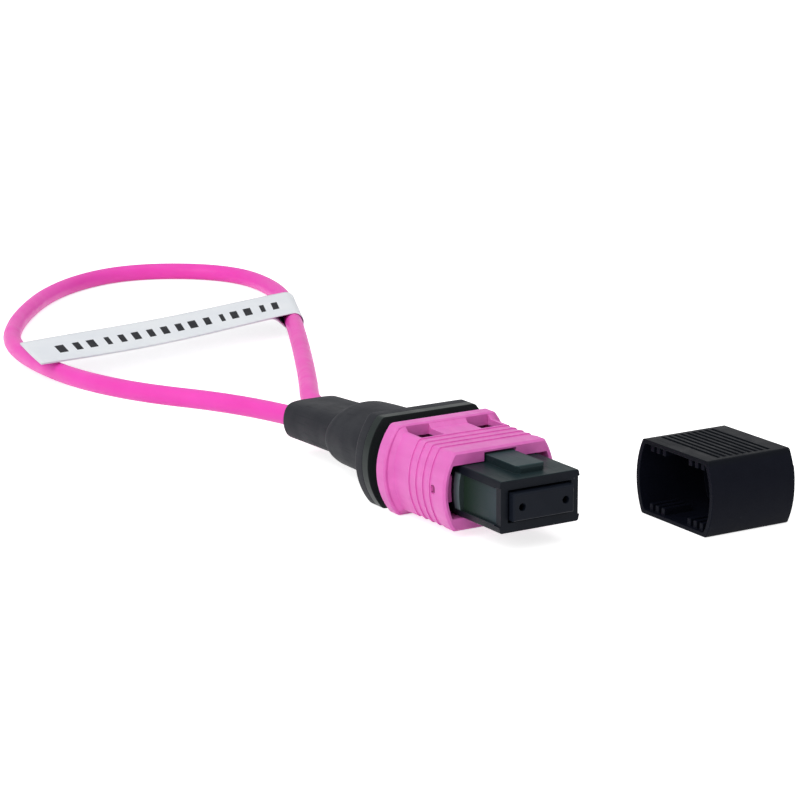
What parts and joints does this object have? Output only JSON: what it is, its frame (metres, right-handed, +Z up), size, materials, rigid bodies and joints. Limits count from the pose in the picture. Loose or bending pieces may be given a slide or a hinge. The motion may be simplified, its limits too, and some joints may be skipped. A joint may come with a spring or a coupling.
{
  "type": "fibre loopback plug",
  "caption": "Multi-fibre loopback plug: keyed nose with floating ferrule, sliding ribbed shell, rubber boot, short cable loop with a flag label, and a loose dust cap.",
  "frame": {"origin": "centre of the ferrule's face", "axes": "+X out of the nose along the plug, +Z up on the key's side, +Y to the plug's left hand"},
  "size_m": [0.1301, 0.0475, 0.0088],
  "materials": {
    "shell_plastic": "satin moulded",
    "nose_plastic": "satin moulded",
    "ferrule_plastic": "ground face",
    "rear_plastic": "gloss moulded",
    "boot_rubber": "matt moulded",
    "sleeve_rubber": "matt moulded",
    "cable_jacket": "satin extruded",
    "label_film": "plain film",
    "cap_plastic": "satin moulded",
    "spring_steel": "drawn wire",
    "keeper_metal": "stamped",
    "sleeve_metal": "crimped",
    "yarn": "loose fibres",
    "fibre_coating": "thin coating"
  },
  "bodies": {
    "frame": {"inner_housing": "nose_plastic", "rear_body": "rear_plastic", "boot": "boot_rubber", "crimp_sleeve": "sleeve_metal", "yarn_layer": "yarn", "cable_loop": "cable_jacket", "flag_label": "label_film", "dust_cap": "cap_plastic", "ferrule_spring": "spring_steel", "shell_spring_left": "spring_steel", "shell_spring_right": "spring_steel"},
    "shell": {"coupling_shell": "shell_plastic"},
    "float": {"ferrule": "ferrule_plastic", "ferrule_boot": "sleeve_rubber", "pin_keeper": "keeper_metal", "fibre_bundle": "fibre_coating"}
  },
  "joints": [
    {"name": "shell_slide", "type": "slide", "parent": "frame", "child": "shell", "axis": [1, 0, 0], "range_m": [-0.0014, 0], "stiffness_N_per_m": 200, "springref_m": 0.002, "deforming": ["shell_spring_left", "shell_spring_right"]},
    {"name": "ferrule_float", "type": "slide", "parent": "frame", "child": "float", "axis": [1, 0, 0], "range_m": [-0.001, 0], "stiffness_N_per_m": 400, "springref_m": 0.002, "deforming": ["ferrule_spring"]}
  ]
}
